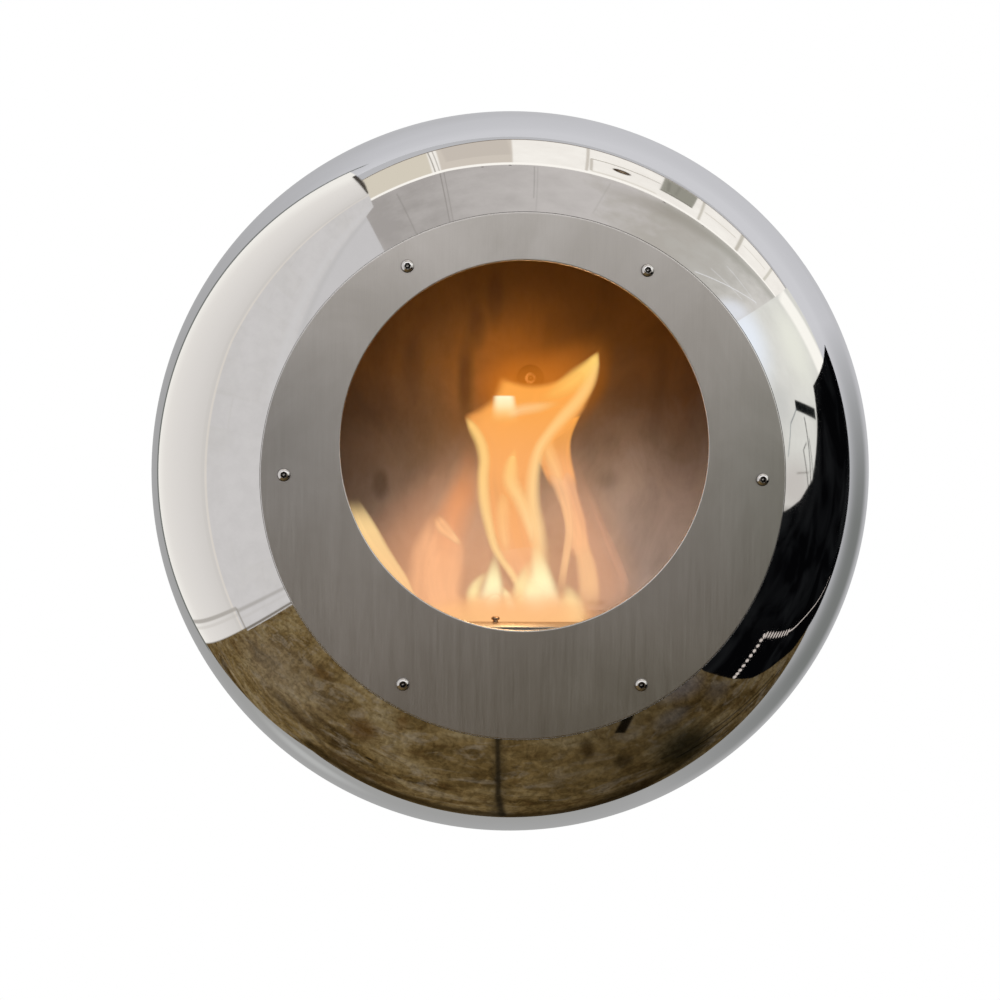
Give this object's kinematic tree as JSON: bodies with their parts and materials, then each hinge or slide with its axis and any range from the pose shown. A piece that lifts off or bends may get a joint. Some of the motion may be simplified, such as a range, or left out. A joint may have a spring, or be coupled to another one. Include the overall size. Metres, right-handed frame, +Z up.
{
  "type": "wall-hung ethanol fireplace",
  "caption": "Round polished steel pod that hangs on a wall, with a brushed front plate, an off-centre round opening and a firebox with a lift-out ethanol burner.",
  "frame": {"origin": "middle of the wall bracket's back face, on the pod's axis, where the bracket lies on the wall", "axes": "+Y into the wall, so the pod's front faces -Y; +X to the right of someone who faces the pod; +Z up"},
  "size_m": [0.6, 0.3033, 0.6],
  "materials": {
    "mirror_steel": "mirror-polished stainless steel",
    "plate_steel": "fine brushed stainless steel",
    "fastener_steel": "bright stainless steel",
    "firebox_steel": "heat-tinted stainless steel",
    "burner_steel": "satin stainless steel, a little heat-tinted",
    "sheet_steel": "plain rolled steel sheet",
    "bracket_paint": "matt black powder coat",
    "ceramic_wool": "soft matt ceramic fibre"
  },
  "bodies": {
    "bracket": {"wall_bracket": "bracket_paint"},
    "pod": {"front_shell": "mirror_steel", "rear_shell": "mirror_steel", "joining_ring": "sheet_steel", "front_plate": "plate_steel", "plate_screw_1": "fastener_steel", "plate_screw_2": "fastener_steel", "plate_screw_3": "fastener_steel", "plate_screw_4": "fastener_steel", "plate_screw_5": "fastener_steel", "plate_screw_6": "fastener_steel", "plate_nut_1": "fastener_steel", "plate_nut_2": "fastener_steel", "plate_nut_3": "fastener_steel", "plate_nut_4": "fastener_steel", "plate_nut_5": "fastener_steel", "plate_nut_6": "fastener_steel", "firebox_liner": "firebox_steel", "firebox_back": "firebox_steel", "hearth_deck": "burner_steel", "deck_support_left": "sheet_steel", "deck_support_right": "sheet_steel", "burner_well": "sheet_steel", "hanger": "sheet_steel", "lock_washer": "fastener_steel", "lock_bolt": "fastener_steel", "lock_nut": "fastener_steel", "rear_stay_1": "sheet_steel", "rear_stay_2": "sheet_steel", "rear_stay_3": "sheet_steel", "rear_stay_4": "sheet_steel"},
    "burner": {"burner_tray": "burner_steel", "burner_top": "burner_steel", "wool_pad": "ceramic_wool", "pad_screen": "sheet_steel", "damper_rail_left": "burner_steel", "damper_rail_right": "burner_steel"},
    "damper": {"damper_lid": "burner_steel", "damper_knob": "fastener_steel"}
  },
  "joints": [
    {"name": "pod_lift", "type": "slide", "parent": "bracket", "child": "pod", "axis": [0, 0, 1], "range_m": [0, 0.025]},
    {"name": "burner_lift", "type": "slide", "parent": "pod", "child": "burner", "axis": [0, 0, 1], "range_m": [0, 0.055]},
    {"name": "damper_slide", "type": "slide", "parent": "burner", "child": "damper", "axis": [0, 1, 0], "range_m": [0, 0.045]}
  ]
}
